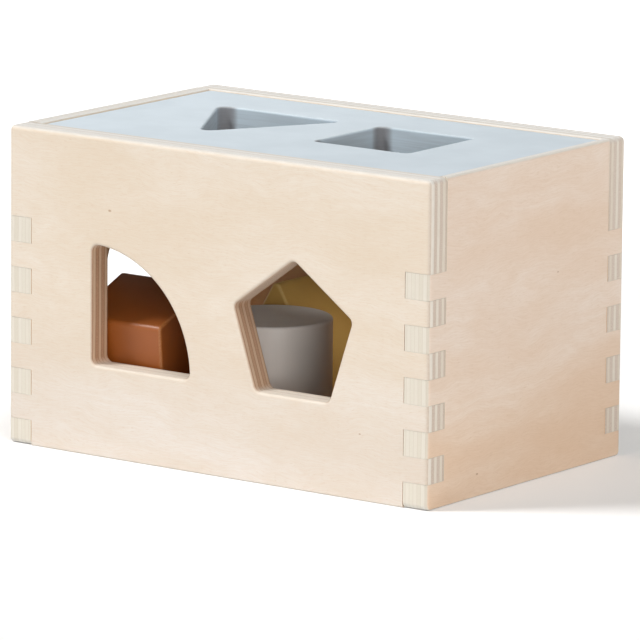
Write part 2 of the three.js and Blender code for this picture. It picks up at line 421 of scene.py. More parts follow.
def with_round_corners(outline, chosen, radius):
    """The outline with an arc at each chosen corner, and the rounding of its two sides eased along it."""
    points, front, back = [], [], []
    count = len(outline.points)
    for place in range(count):
        if place not in chosen:
            points.append(outline.points[place:place + 1])
            front.append([outline.front[place]])
            back.append([outline.back[place]])
            continue
        near = outline.points[[place - 1, place, (place + 1) % count]]
        curve = rounded_polygon(near, radius)[CORNER_STEPS + 1:2 * CORNER_STEPS + 2]
        points.append(curve)
        front.append(np.linspace(outline.front[place - 1], outline.front[place], CORNER_STEPS + 1))
        back.append(np.linspace(outline.back[place - 1], outline.back[place], CORNER_STEPS + 1))
    return Outline(np.concatenate(points), np.concatenate(front), np.concatenate(back))


def corner_places(outline, low):
    """Which points are the outline's widest corners at its foot, or at its rim if low is False."""
    u, v = np.abs(outline.points[:, 0]), outline.points[:, 1]
    level = v.min() if low else v.max()
    return set(np.flatnonzero((u > u.max() - FLAT_BAND) & (np.abs(v - level) < FLAT_BAND)).tolist())


def hole(points, centre=(0, 0), rounding=HOLE_ROUND):
    """A hole's outline at its centre, walked the other way, with its arrises rounded at both faces."""
    return Outline((points + np.asarray(centre))[::-1], rounding, rounding)


def long_wall(name, side, holes):
    """The front wall (side -1) or the back wall (side 1): thickness runs from the outer face inwards."""
    outline = fingered(HALF_LENGTH, HALF_LENGTH - WALL, False, RIM_ROUND)
    outline = with_round_corners(outline, corner_places(outline, False), RIM_CORNER)
    axes = (-side * X_AXIS, Z_AXIS, -side * Y_AXIS)
    return slab(name, [with_landings(outline)] + holes, WALL, axes, side * HALF_DEPTH * Y_AXIS)


def end_wall(name, side, lip, holes):
    """The left wall (side -1) or the right wall (side 1), rebated along its top for the lid."""
    ledge = corners_of("lid_panel")[0][Z] - LID_SEAT
    outline = fingered(HALF_DEPTH, HALF_DEPTH - WALL, True, END_RIM_ROUND)
    outline = with_round_corners(outline, corner_places(outline, True), FOOT_CORNER)
    outline = with_ledge_points(with_landings(outline), ledge)
    axes = (side * Y_AXIS, Z_AXIS, -side * X_AXIS)
    rebate = Rebate(lip, HEIGHT - ledge)
    return slab(name, [outline] + holes, WALL, axes, side * HALF_LENGTH * X_AXIS, rebate)


def with_ledge_points(outline, ledge):
    """The outline with a point on each side that crosses the ledge's height."""
    points = outline.points
    after = np.roll(points, -1, axis=0)
    crosses = (points[:, 1] - ledge) * (after[:, 1] - ledge) < 0
    share = (ledge - points[crosses, 1]) / (after[crosses, 1] - points[crosses, 1])
    added = points[crosses] + share[:, None] * (after - points)[crosses]
    where = np.flatnonzero(crosses) + 1
    front = np.insert(outline.front, where, outline.front[crosses])
    back = np.insert(outline.back, where, outline.back[crosses])
    return Outline(np.insert(points, where, added, axis=0), front, back)


def front_wall():
    """The front, with the quarter-circle hole and the pentagon hole."""
    quarter = quarter_round(QUARTER_RADIUS, 0, HOLE_CORNER)
    pentagon = rounded_polygon(regular_corners(5, PENTAGON_RADIUS, math.pi / 2), HOLE_CORNER)
    holes = [hole(quarter, (QUARTER_X, QUARTER_SILL)), hole(pentagon, (PENTAGON_X, PENTAGON_HEIGHT))]
    return long_wall("front_wall_plywood", -1, holes)


def back_wall():
    """The plain back."""
    return long_wall("back_wall_plywood", 1, [])


def left_wall():
    """The end with the round hole. Its outline's u runs towards the front."""
    lip = corners_of("lid_panel")[0][X] - LID_PLAY - BOX_LOW[X]
    return end_wall("left_wall_plywood", -1, lip, [hole(circle((-ROUND_Y, ROUND_HEIGHT), ROUND_RADIUS))])


def right_wall():
    """The plain end."""
    lip = BOX_HIGH[X] - corners_of("lid_panel")[1][X] - LID_PLAY
    return end_wall("right_wall_plywood", 1, lip, [])


def floor_panel():
    """The bottom, let in flush between the walls."""
    low, high = corners_of("floor_panel")
    grow = CAD_SEAM_GAP - SEAM_GAP
    plan = rectangle(low[:2] - grow, high[:2] + grow)
    outline = Outline(plan, SEAM_ROUND, SEAM_ROUND)
    return slab("floor_panel_plywood", [outline], high[Z], (X_AXIS, -Y_AXIS, Z_AXIS), (0, 0, 0))


def lid_panel():
    """The painted lid, with the triangle hole pointing to the front and the square hole."""
    low, high = corners_of("lid_panel")
    outline = Outline(rounded_polygon(rectangle(low[:2], high[:2]), LID_CORNER), LID_ROUND, LID_ROUND)
    tip_to_middle = TRIANGLE_SIDE / math.sqrt(3)
    triangle = rounded_polygon(regular_corners(3, tip_to_middle, -math.pi / 2), TRIANGLE_CORNER)
    triangle_place = (TRIANGLE_X, LID_HOLES_BACK - tip_to_middle / 2)
    square = rounded_polygon(rectangle((0, 0), (SQUARE_SIDE, SQUARE_SIDE)), HOLE_CORNER)
    square_place = (SQUARE_X - SQUARE_SIDE / 2, LID_HOLES_BACK - SQUARE_SIDE)
    outlines = [
        outline,
        hole(triangle, triangle_place, LID_HOLE_ROUND),
        hole(square, square_place, LID_HOLE_ROUND),
    ]
    axes = (X_AXIS, Y_AXIS, -Z_AXIS)
    return slab("lid_panel_painted", outlines, high[Z] - low[Z], axes, (0, 0, high[Z]))


def block(name, node, points, axes):
    """A block: its outline carried along axes[2], set so that the low corner of its box is its node's."""
    low, high = corners_of(node)
    frame_axes = np.stack(axes)
    length = float(np.abs(frame_axes[2]) @ (high - low))
    near_end = points @ frame_axes[:2]
    ends = np.concatenate([near_end, near_end + length * frame_axes[2]])
    outline = Outline(points, BLOCK_END_ROUND, BLOCK_END_ROUND)
    return slab(name, [outline], length, axes, low - ends.min(axis=0))


def pentagon_block():
    """The brown block, lying along X and leaning back.

    With its sides moved in by the clearance, its corners move in by clearance / cos(36 degrees).
    """
    radius = PENTAGON_RADIUS - CLEARANCE / math.cos(math.pi / 5)
    points = rounded_polygon(regular_corners(5, radius, math.pi / 2 + PENTAGON_LEAN), BLOCK_CORNER)
    return block("pentagon_block_painted", "pentagon_block", points, (-Y_AXIS, Z_AXIS, X_AXIS))


def cylinder_block():
    """The grey round block, standing."""
    points = circle((0, 0), ROUND_RADIUS - CLEARANCE)
    return block("cylinder_block_painted", "cylinder_block", points, (X_AXIS, Y_AXIS, -Z_AXIS))


def triangle_block():
    """The olive block, lying along Y on one of its sides.

    With its sides moved in by the clearance, each gets shorter by the clearance times the root of 12.
    """
    side = TRIANGLE_SIDE - CLEARANCE * math.sqrt(12)
    points = rounded_polygon(regular_corners(3, side / math.sqrt(3), math.pi / 2), BLOCK_CORNER)
    return block("triangle_block_painted", "triangle_block", points, (X_AXIS, Z_AXIS, Y_AXIS))


def square_block():
    """The slate block, standing."""
    side = SQUARE_SIDE - 2 * CLEARANCE
    points = rounded_polygon(rectangle((0, 0), (side, side)), BLOCK_CORNER)
    return block("square_block_painted", "square_block", points, (X_AXIS, Y_AXIS, -Z_AXIS))


def quarter_block():
    """The clay block, standing with its square corner towards the back right."""
    points = quarter_round(QUARTER_RADIUS, CLEARANCE, BLOCK_CORNER)
    return block("quarter_block_painted", "quarter_block", -points, (X_AXIS, Y_AXIS, -Z_AXIS))


def linear(red, green, blue):
    """A colour as it looks on a screen, 0 to 255, as the linear values that a shader takes."""
    share = np.array([red, green, blue]) / SCREEN_WHITE
    curve = ((share + SCREEN_OFFSET) / (1 + SCREEN_OFFSET)) ** SCREEN_POWER
    light = np.where(share <= SCREEN_KNEE, share / SCREEN_SLOPE, curve)
    return (*light.tolist(), 1.0)


# Noise: the middle of its values, and the range that holds most of them
HALF = 0.5
NOISE_RANGE = (0.3, 0.7)

# Wood grain: each noise's scale along and across the fibres per millimetre, its detail and its roughness
FIBRE = (0.16, 2.0, 4.0, 0.62)
FLECK = (0.5, 4.5, 1.0, 0.55)
CLOUD = (0.014, 0.04, 2.0, 0.55)
GROWTH = (0.012, 0.05, 1.5, 0.55)
PORES = (1.6, 3.2, 3.0, 0.55)
FIBRE_RANGE = (0.35, 0.68)
FLECK_RANGE = (0.6, 0.74)
PORE_RANGE = (0.35, 0.7)
GROWTH_BANDS = 60.0
WAVER_SCALE = 0.05
WAVER = 0.5
SWAY_SCALE = 0.07
SWAY_STRETCH = 0.6
SWAY = 9.0
PLY_SHIFT = 53.0
PLY_TONE_STEP = 3.7
FIGURE = 0.3
LEFT_FIGURE = 0.35

# Wood colours: a tone is blended in by its share, and a tint multiplies
CREAM = linear(227, 217, 204)
TAN = linear(221, 207, 189)
# The right wall's veneer: its own pinker tone, partly painted warm light on that side
PINK_AND_SIDE_LIGHT = linear(236, 221, 208)
CLAY_AND_SIDE_LIGHT = linear(228, 205, 185)
FIBRE_TONE = linear(212, 184, 155)
FIBRE_SHARE = 0.24
FLECK_TONE = linear(196, 164, 128)
FLECK_SHARE = 0.26
STRONG_END = (linear(220, 206, 192), linear(199, 182, 168))
FAINT_END = (linear(226, 219, 204), linear(214, 205, 189))
PALE_END = (linear(226, 219, 208), linear(215, 204, 191))
SIDE_GRAIN = (linear(233, 226, 215), linear(227, 219, 207))
EVEN_TONE = linear(216, 210, 197)
END_EVENED = 0.7
GLUE_TONE = linear(156, 118, 90)
GLUE_START = (0.43, 0.38)
GLUE_SHARE = (0.28, 0.95)
# Scorch on routed side walls, with painted shade in it
SCORCH_AND_SHADE = (linear(220, 196, 176), linear(214, 183, 160))
NO_TINT = linear(255, 255, 255)
PLY_TINT = linear(243, 238, 233)
# Painted light from above: the cooler tint of rims that face up
RIM_TOP_LIGHT_TINT = linear(248, 255, 264)
# Painted warm shade on the inner faces, lower down in the box
INSIDE_SHADE_TINT = linear(256, 224, 184)
INSIDE_SHADE_DEPTH = (5.0, 9.0)
INSIDE_SHADE_HEIGHT = (50.0, 104.0)
# Painted bounce light from the floor at the foot of a wall: warm on the right, pale on the front
WARM_FOOT_BOUNCE = linear(255, 248, 239)
PALE_FOOT_BOUNCE = linear(251, 254, 261)
FOOT_BOUNCE_HEIGHT = (4.0, 62.0)
EDGE_FACING = (0.72, 0.99)

# Knots: places along and across the grain and sizes, in millimetres
FRONT_KNOTS = [(-45.5, 87.5, 0.45), (62.0, 23.0, 0.3)]
BACK_KNOTS = [(33.0, 61.0, 0.5)]
LEFT_KNOTS = [(24.0, 84.0, 0.4)]
RIGHT_KNOTS = [(-29.0, 8.0, 0.4), (18.0, 71.0, 0.3)]
KNOT_TONE = linear(160, 116, 76)
KNOT_LENGTH = 1.8
KNOT_REACH = (0.1, 1.3)
KNOT_SHARE = 0.6

# Wood surface
WOOD_ROUGHNESS = (0.5, 0.64)
WOOD_SHINE = 0.35
FIBRE_RELIEF = 0.5
FLECK_RELIEF = 0.35
GLUE_RELIEF = 0.8
WOOD_BUMP = 0.25
WOOD_BUMP_HEIGHT = 0.15 * MM

# Paint colours: each paint, and the paler tone of its edges, for rubbing and for a painted highlight (near
# white on the lid)
BLUE_GREY = (linear(201, 212, 220), linear(247, 250, 251))
BROWN = (linear(151, 81, 26), linear(200, 137, 82))
WARM_GREY = (linear(222, 218, 214), linear(229, 226, 222))
OLIVE = (linear(222, 184, 104), linear(232, 204, 134))
SLATE = (linear(127, 150, 163), linear(158, 176, 186))
CLAY_RED = (linear(181, 118, 92), linear(204, 150, 126))

# Paint pattern: grain that stands through it, mottling, edge wear with a painted highlight, the soaked walls
# of the holes with painted shade, painted shade in their corners, and painted light fading across the lid
GRAIN_ALONG = 0.12
GRAIN_ACROSS = 1.7
PAINT_FIBRE = (4.0, 0.6)
PAINT_FIBRE_RANGE = (0.45, 0.75)
PAINT_FIBRE_SHARE = 0.5
MOTTLE_SCALE = 0.06
MOTTLE_DETAIL = 3.0
STIPPLE_SCALE = 2.2
DARK_SHARE = 0.95
RUB_AND_HIGHLIGHT_RANGE = (0.3, 0.65)
RUB_AND_HIGHLIGHT_SHARE = (0.15, 0.6)
STREAK_ALONG = 0.05
STREAK_ACROSS = 1.4
STREAK_DETAIL = 3.0
STREAK_RANGE = (0.36, 0.66)
# Streak levels and the cooler cut tint darken the soaked hole walls: partly painted shade
STREAK_SHADE_LEVEL = (0.93, 0.82)
CUT_SHADE_TINT = (0.94, 1.0, 1.04)
ROUTED_SHARE = 0.9
# Painted shade in the corners of the lid's holes: its tone, its reach in squared millimetres and its share
NOOK_SHADE_TONE = linear(104, 96, 96)
NOOK_SHADE_REACH = (2.0, 32.0)
NOOK_SHADE_SHARE = 0.8
# Painted light across the lid: paler to the left, darker to the right, over this length
LIGHT_FADE_LENGTH = (-84.0, 84.0)
LID_LIGHT_FADE = 0.06

# Paint surface
SATIN = 0.42
SATIN_SHINE = 0.45
LID_ROUGHNESS = 0.58
LID_SHINE = 0.28
BROWN_ROUGHNESS = 0.4
BROWN_SHINE = 0.55
UNEVEN = 0.03
PAINT_FIBRE_RELIEF = 0.6
STIPPLE_RELIEF = 0.2
PAINT_BUMP = 0.22
PAINT_BUMP_HEIGHT = 0.12 * MM

# Studio: the floor's grey and its lift to white, with painted light added from the left up to the box over a
# lamp's shadow there, and the sky as light and as seen
WHITE = (1.0, 1.0, 1.0, 1.0)
FLOOR_HALF = 6.0
FLOOR_GREY = (0.85, 0.85, 0.85, 1.0)
FLOOR_ROUGHNESS = 0.9
FLOOR_SHINE = 0.1
# Floor lift: even to white, and stronger left of the box as painted light over a lamp's shadow
FLOOR_LEFT_LIGHT_LENGTH = (-150.0, -92.0)
FLOOR_LIFT_AND_LEFT_LIGHT = (0.4, 0.13)
SKY_LIGHT = 0.18
SKY_SEEN = 1.0

# Lamps: azimuth left of the front, elevation and spread in degrees, level and colour
LEFT_LAMP = (50, 52, 14, 0.72, (1.0, 0.995, 0.985))
LOW_LAMP = (-50, 8, 28, 0.42, (1.0, 0.98, 0.955))
END_LAMP = (-56, 58, 22, 0.28, (1.0, 0.98, 0.95))


class Finish:
    """One material's node tree, with a short call for each kind of node."""

    def __init__(self, name):
        self.material = bpy.data.materials.new(name)
        self.material.use_nodes = True
        self.tree = self.material.node_tree
        self.shader = self.tree.nodes["Principled BSDF"]

    def feed(self, socket, value):
        """Links a socket to a node's output, or sets it to a plain value."""
        if isinstance(value, bpy.types.NodeSocket):
            self.tree.links.new(value, socket)
        else:
            socket.default_value = value

    def node(self, kind, inputs, **settings):
        """A node with its settings made and its inputs fed."""
        made = self.tree.nodes.new(kind)
        for key, value in settings.items():
            setattr(made, key, value)
        for key, value in inputs.items():
            self.feed(made.inputs[key], value)
        return made

    def math(self, operation, first, second=0.0):
        """One arithmetic step."""
        return self.node("ShaderNodeMath", {0: first, 1: second}, operation=operation).outputs[0]

    def plus(self, first, second):
        """The sum of two numbers."""
        return self.math("ADD", first, second)

    def minus(self, first, second):
        """The first number less the second."""
        return self.math("SUBTRACT", first, second)

    def times(self, first, second):
        """The product of two numbers."""
        return self.math("MULTIPLY", first, second)

    def squared(self, value):
        """A number times itself."""
        return self.math("POWER", value, 2.0)

    def scaled(self, vector, share):
        """A vector or colour times a number."""
        return self.node("ShaderNodeVectorMath", {0: vector, "Scale": share}, operation="SCALE").outputs[0]

    def pick(self, share, first, second):
        """A number that goes from first to second with the share."""
        return self.node("ShaderNodeMix", {0: share, 2: first, 3: second}).outputs[0]

    def blend(self, share, first, second, how="MIX"):
        """A colour that goes from first to second with the share."""
        inputs = {0: share, 6: first, 7: second}
        return self.node("ShaderNodeMix", inputs, data_type="RGBA", blend_type=how).outputs[2]

    def ramp(self, value, low, high, start=0.0, end=1.0):
        """A number that goes smoothly from start to end as the value goes from low to high."""
        inputs = {"Value": value, 1: low, 2: high, 3: start, 4: end}
        return self.node("ShaderNodeMapRange", inputs, interpolation_type="SMOOTHSTEP").outputs[0]

    def vector(self, x, y, z):
        """A vector of three numbers."""
        return self.node("ShaderNodeCombineXYZ", {0: x, 1: y, 2: z}).outputs[0]

    def noise(self, vector, scale, detail=2.0, roughness=0.5):
        """Soft noise from about 0.2 to 0.8."""
        inputs = {"Vector": vector, "Scale": scale, "Detail": detail, "Roughness": roughness}
        return self.node("ShaderNodeTexNoise", inputs).outputs[0]

    def place(self):
        """The point on the piece, in millimetres, as three numbers."""
        point = self.node("ShaderNodeTexCoord", {}).outputs["Object"]
        return self.node("ShaderNodeSeparateXYZ", {0: self.scaled(point, 1 / MM)}).outputs

    def facing(self):
        """How squarely the surface faces along X, Y and Z, from 0 to 1."""
        normal = self.node("ShaderNodeNewGeometry", {}).outputs["Normal"]
        size = self.node("ShaderNodeVectorMath", {0: normal}, operation="ABSOLUTE").outputs[0]
        return self.node("ShaderNodeSeparateXYZ", {0: size}).outputs

    def mark(self, name):
        """A mark that the piece carries on its points."""
        return self.node("ShaderNodeAttribute", {}, attribute_name=name).outputs["Fac"]

    def bump(self, height, strength, distance):
        """Feeds the shader's normal with a relief."""
        inputs = {"Height": height, "Strength": strength, "Distance": distance}
        self.feed(self.shader.inputs["Normal"], self.node("ShaderNodeBump", inputs).outputs[0])


class Lay:
    """How a plywood panel lies: the axis its face grain runs along, the one across it, and its depth."""

    def __init__(self, along, across, deep, face, inwards):
        self.along = along
        self.across = across
        self.deep = deep
        self.face = face / MM
        self.inwards = inwards


class Birch:
    """A panel's wood: its face colours, figure and end grain, its foot's tint of painted bounce light, and
    how even its edges are.
    """

    def __init__(self, cream, tan, figure, end_grain, foot_bounce_tint=NO_TINT, evened=0.0):
        self.cream = cream
        self.tan = tan
        self.figure = figure
        self.end_grain = end_grain
        self.foot_bounce_tint = foot_bounce_tint
        self.evened = evened


class Plies:
    """A panel's plies as shader values: which ply a point lies in, and how the fibres run there.

    The ply is the depth counted in ply thicknesses, and every other ply's grain runs across. Grain is noise
    drawn out along the fibres.
    """

    def __init__(self, finish, lay, seed):
        self.finish = finish
        self.lay = lay
        self.seed = seed
        self.point = finish.place()
        self.facing = finish.facing()
        self.along = self.point[lay.along]
        self.across = self.point[lay.across]
        self.depth = finish.times(finish.minus(self.point[lay.deep], lay.face), lay.inwards)
        waver = finish.noise(finish.vector(self.along, self.across, seed), WAVER_SCALE, 1.0)
        level = finish.plus(self.depth, finish.times(finish.minus(waver, HALF), WAVER))
        self.count = finish.math("DIVIDE", finish.minus(level, FACE_PLY), INNER_PLY)
        self.ply = finish.math("FLOOR", self.count)
        self.crossed = finish.minus(1.0, finish.math("FLOORED_MODULO", self.ply, 2.0))
        bent = finish.vector(finish.times(self.along, SWAY_STRETCH), self.across, seed)
        sway = finish.minus(finish.noise(bent, SWAY_SCALE), HALF)
        straight = finish.pick(self.crossed, self.across, self.along)
        self.run = finish.pick(self.crossed, self.along, self.across)
        self.over = finish.plus(straight, finish.times(sway, SWAY))
        self.shift = finish.plus(finish.times(self.ply, PLY_SHIFT), seed)
        self.fibre = self.grained(*FIBRE)
        self.fleck = finish.ramp(self.grained(*FLECK), *FLECK_RANGE)

    def grained(self, run_scale, over_scale, detail, roughness):
        """Noise drawn out along the fibres of the ply."""
        finish = self.finish
        vector = finish.vector(
            finish.plus(finish.times(self.run, run_scale), self.shift),
            finish.times(self.over, over_scale),
            finish.times(self.depth, over_scale),
        )
        return finish.noise(vector, 1.0, detail, roughness)


def birch_face(plies, birch):
    """The colour of a panel's faces: clouds and growth bands, fibres and flecks, painted warm shade on the
    inner faces lower down, and painted bounce light at the foot.
    """
    finish = plies.finish
    height = plies.point[Z]
    cloud = plies.grained(*CLOUD)
    growth = finish.math("SINE", finish.times(plies.grained(*GROWTH), GROWTH_BANDS))
    colour = finish.blend(finish.ramp(cloud, *NOISE_RANGE), birch.cream, birch.tan)
    colour = finish.blend(finish.ramp(growth, -1.0, 1.0, 0.0, birch.figure), colour, birch.tan)
    colour = finish.blend(finish.ramp(plies.fibre, *FIBRE_RANGE, 0.0, FIBRE_SHARE), colour, FIBRE_TONE)
    colour = finish.blend(finish.times(plies.fleck, FLECK_SHARE), colour, FLECK_TONE)
    # Painted warm shade: inner faces warmer and darker lower down in the box
    shade_low_down = finish.ramp(height, *INSIDE_SHADE_HEIGHT, 1.0, 0.0)
    inside = finish.times(finish.ramp(plies.depth, *INSIDE_SHADE_DEPTH), shade_low_down)
    colour = finish.blend(inside, colour, INSIDE_SHADE_TINT, "MULTIPLY")
    # Painted bounce light from the floor, strongest at the foot
    foot = finish.ramp(height, *FOOT_BOUNCE_HEIGHT, 1.0, 0.0)
    return finish.blend(foot, colour, birch.foot_bounce_tint, "MULTIPLY")


def birch_edge(plies, birch, glue):
    """The colour of a cut edge: end grain in a ply that runs towards it, side grain in the next, and glue.

    A routed edge that faces along the panel is scorched and darkened with painted shade, and a rim that
    faces up gets a cooler tint, painted light from above.
    """
    finish = plies.finish
    along = plies.facing[plies.lay.along]
    across = plies.facing[plies.lay.across]
    routed = finish.mark("routed")
    end = finish.squared(finish.pick(plies.crossed, along, across))
    pores = finish.ramp(plies.grained(*PORES), *PORE_RANGE)
    own_end = finish.blend(pores, *birch.end_grain)
    end_colour = finish.blend(plies.crossed, own_end, finish.blend(pores, *PALE_END))
    side_colour = finish.blend(finish.ramp(plies.fibre, *FIBRE_RANGE), *SIDE_GRAIN)
    colour = finish.blend(end, side_colour, end_colour)
    own_place = finish.vector(finish.times(plies.ply, PLY_TONE_STEP), plies.seed, HALF)
    own_tone = finish.ramp(finish.noise(own_place, 1.0, 0.0), *NOISE_RANGE)
    colour = finish.blend(own_tone, colour, PLY_TINT, "MULTIPLY")
    colour = finish.blend(finish.times(along, birch.evened), colour, EVEN_TONE)
    colour = finish.blend(glue, colour, GLUE_TONE)
    # Scorch with painted shade: the side walls of routed holes darker and warmer than their sills
    colour = finish.blend(finish.times(routed, along), colour, finish.blend(end, *SCORCH_AND_SHADE), "MULTIPLY")
    # Painted light from above: faces that face up tinted cooler
    top_light_on_rim = finish.times(plies.facing[Z], finish.minus(1.0, routed))
    return finish.blend(top_light_on_rim, colour, RIM_TOP_LIGHT_TINT, "MULTIPLY")


def glue_lines(plies):
    """How much glue shows: a line between every two plies, wider and stronger where the edge is scorched."""
    finish = plies.finish
    burnt = finish.times(finish.mark("routed"), plies.facing[plies.lay.along])
    from_middle = finish.math("ABSOLUTE", finish.minus(finish.math("FRACT", plies.count), HALF))
    start = finish.pick(burnt, *GLUE_START)
    return finish.ramp(from_middle, start, HALF, 0.0, finish.pick(burnt, *GLUE_SHARE))


def with_knots(plies, colour, knots):
    """The colour with small knots: each has its place along and across the grain, and its size."""
    finish = plies.finish
    for knot_along, knot_across, size in knots:
        sideways = finish.math("DIVIDE", finish.minus(plies.along, knot_along), size * KNOT_LENGTH)
        upwards = finish.math("DIVIDE", finish.minus(plies.across, knot_across), size)
        reach = finish.plus(finish.squared(sideways), finish.squared(upwards))
        colour = finish.blend(finish.ramp(reach, *KNOT_REACH, KNOT_SHARE, 0.0), colour, KNOT_TONE)
    return colour


def plywood(name, lay, birch, seed, knots=()):
    """Birch plywood, cut right through: the plies show on every edge, hole and rounded arris."""
    finish = Finish(name)
    plies = Plies(finish, lay, seed)
    glue = glue_lines(plies)
    on_edge = finish.ramp(plies.facing[lay.deep], *EDGE_FACING, 1.0, 0.0)
    colour = finish.blend(on_edge, birch_face(plies, birch), birch_edge(plies, birch, glue))
    finish.feed(finish.shader.inputs["Base Color"], with_knots(plies, colour, knots))
    roughness = finish.ramp(plies.fibre, *NOISE_RANGE, *WOOD_ROUGHNESS)
    finish.feed(finish.shader.inputs["Roughness"], roughness)
    finish.shader.inputs["Specular IOR Level"].default_value = WOOD_SHINE
    relief = finish.minus(finish.times(plies.fibre, FIBRE_RELIEF), finish.times(plies.fleck, FLECK_RELIEF))
    relief = finish.minus(relief, finish.times(glue, GLUE_RELIEF))
    finish.bump(relief, WOOD_BUMP, WOOD_BUMP_HEIGHT)
    return finish.material


def soaked_and_shaded_paint(finish, point, colour, shaded_nooks):
    """The paint on routed walls: soaked and streaked along the cut, darker and cooler with painted shade,
    and with painted shade in the corners of a hole.
    """
    scales = (STREAK_ALONG, STREAK_ALONG, STREAK_ACROSS)
    drawn = finish.vector(*(finish.times(place, scale) for place, scale in zip(point, scales)))
    # Painted shade with the soak and streaks: routed walls darker and cooler than the paint
    streak = finish.ramp(finish.noise(drawn, 1.0, STREAK_DETAIL), *STREAK_RANGE, *STREAK_SHADE_LEVEL)
    cut = tuple(part * share for part, share in zip(colour, CUT_SHADE_TINT))
    shade = finish.scaled(cut, streak)
    # Painted shade in the corners of a hole
    for shaded_nook_x, shaded_nook_y in shaded_nooks:
        sideways = finish.squared(finish.minus(point[X], shaded_nook_x / MM))
        endways = finish.squared(finish.minus(point[Y], shaded_nook_y / MM))
        near = finish.ramp(finish.plus(sideways, endways), *NOOK_SHADE_REACH, NOOK_SHADE_SHARE, 0.0)
        shade = finish.blend(near, shade, NOOK_SHADE_TONE)
    return shade


def paint(name, colour, rub_and_highlight_tone, grain, seed, roughness=SATIN, shine=SATIN_SHINE, shaded_nooks=(), painted_light_fade=0.0):
    """Satin paint on wood: faint mottling, grain standing through it, and edges a little paler, from rubbing
    and from a painted highlight.

    grain is the axis along which the wood's grain runs. fade makes the paint paler towards the left, painted
    light that falls off across the piece.
    """
    finish = Finish(name)
    point = finish.place()
    scales = [GRAIN_ALONG if axis == grain else GRAIN_ACROSS for axis in range(3)]
    stretch = [finish.times(place, scale) for place, scale in zip(point, scales)]
    stretch[grain] = finish.plus(stretch[grain], seed)
    fibre = finish.noise(finish.vector(*stretch), 1.0, *PAINT_FIBRE)
    whole = finish.vector(point[X], point[Y], finish.plus(point[Z], seed))
    mottle = finish.noise(whole, MOTTLE_SCALE, MOTTLE_DETAIL)
    stipple = finish.noise(whole, STIPPLE_SCALE)
    dark = tuple(DARK_SHARE * part for part in colour[:3]) + (1.0,)
    shade = finish.blend(finish.ramp(mottle, *NOISE_RANGE), colour, dark)
    shade = finish.blend(finish.ramp(fibre, *PAINT_FIBRE_RANGE, 0.0, PAINT_FIBRE_SHARE), shade, dark)
    # Paler edges: rubbed wear and a painted highlight along the arrises
    rub_and_highlight = finish.times(finish.mark("edge_wear_and_highlight"), finish.ramp(stipple, *RUB_AND_HIGHLIGHT_RANGE, *RUB_AND_HIGHLIGHT_SHARE))
    shade = finish.blend(rub_and_highlight, shade, rub_and_highlight_tone)
    # Routed walls: soaked paint with painted shade
    soaked_and_shaded = soaked_and_shaded_paint(finish, point, colour, shaded_nooks)
    shade = finish.blend(finish.times(finish.mark("routed"), ROUTED_SHARE), shade, soaked_and_shaded)
    # Painted light: the paint paler towards the left and darker towards the right
    shade = finish.scaled(shade, finish.ramp(point[X], *LIGHT_FADE_LENGTH, 1.0 + painted_light_fade, 1.0 - painted_light_fade))
    finish.feed(finish.shader.inputs["Base Color"], shade)
    uneven = finish.ramp(mottle, *NOISE_RANGE, roughness - UNEVEN, roughness + UNEVEN)
    finish.feed(finish.shader.inputs["Roughness"], uneven)
    finish.shader.inputs["Specular IOR Level"].default_value = shine
    relief = finish.plus(finish.times(fibre, PAINT_FIBRE_RELIEF), finish.times(stipple, STIPPLE_RELIEF))
    finish.bump(relief, PAINT_BUMP, PAINT_BUMP_HEIGHT)
    return finish.material


def dress(piece, body, node, material):
    """Gives a piece its finish and its place in the frame."""
    piece.data.materials.append(material)
    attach(piece, body)
    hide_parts(node)


def make_box():
    """The five glued plywood panels."""
    plain_wood = Birch(CREAM, TAN, FIGURE, STRONG_END)
    front_wood = Birch(CREAM, TAN, FIGURE, STRONG_END, PALE_FOOT_BOUNCE)
    left_wood = Birch(CREAM, TAN, LEFT_FIGURE, FAINT_END, NO_TINT, END_EVENED)
    # The right wall's pinker veneer is partly painted warm light on that side
    right_wood_and_side_light = Birch(PINK_AND_SIDE_LIGHT, CLAY_AND_SIDE_LIGHT, FIGURE, FAINT_END, WARM_FOOT_BOUNCE, END_EVENED)
    front_lay = Lay(X, Z, Y, BOX_LOW[Y], 1)
    back_lay = Lay(X, Z, Y, BOX_HIGH[Y], -1)
    left_lay = Lay(Y, Z, X, BOX_LOW[X], 1)
    right_lay = Lay(Y, Z, X, BOX_HIGH[X], -1)
    floor_lay = Lay(X, Y, Z, BOX_LOW[Z], 1)
    front = plywood("front_birch", front_lay, front_wood, seed=3.0, knots=FRONT_KNOTS)
    back = plywood("back_birch", back_lay, plain_wood, seed=41.0, knots=BACK_KNOTS)
    left = plywood("left_birch", left_lay, left_wood, seed=77.0, knots=LEFT_KNOTS)
    right = plywood("right_birch", right_lay, right_wood_and_side_light, seed=19.0, knots=RIGHT_KNOTS)
    bottom = plywood("floor_birch", floor_lay, plain_wood, seed=58.0)
    dress(front_wall(), "box", "front_wall", front)
    dress(back_wall(), "box", "back_wall", back)
    dress(left_wall(), "box", "left_wall", left)
    dress(right_wall(), "box", "right_wall", right)
    dress(floor_panel(), "box", "floor_panel", bottom)


def make_lid():
    """The painted lid."""
    square_left = SQUARE_X - SQUARE_SIDE / 2
    triangle_left = TRIANGLE_X - TRIANGLE_SIDE / 2
    # Corners of the lid's holes that get painted shade
    shaded_nooks = [
        (square_left, LID_HOLES_BACK),
        (square_left, LID_HOLES_BACK - SQUARE_SIDE),
        (triangle_left + TRIANGLE_CORNER, LID_HOLES_BACK),
    ]
    blue_grey = paint("lid_blue_grey", *BLUE_GREY, X, 11.0, LID_ROUGHNESS, LID_SHINE, shaded_nooks, LID_LIGHT_FADE)
    dress(lid_panel(), "lid", "lid_panel", blue_grey)


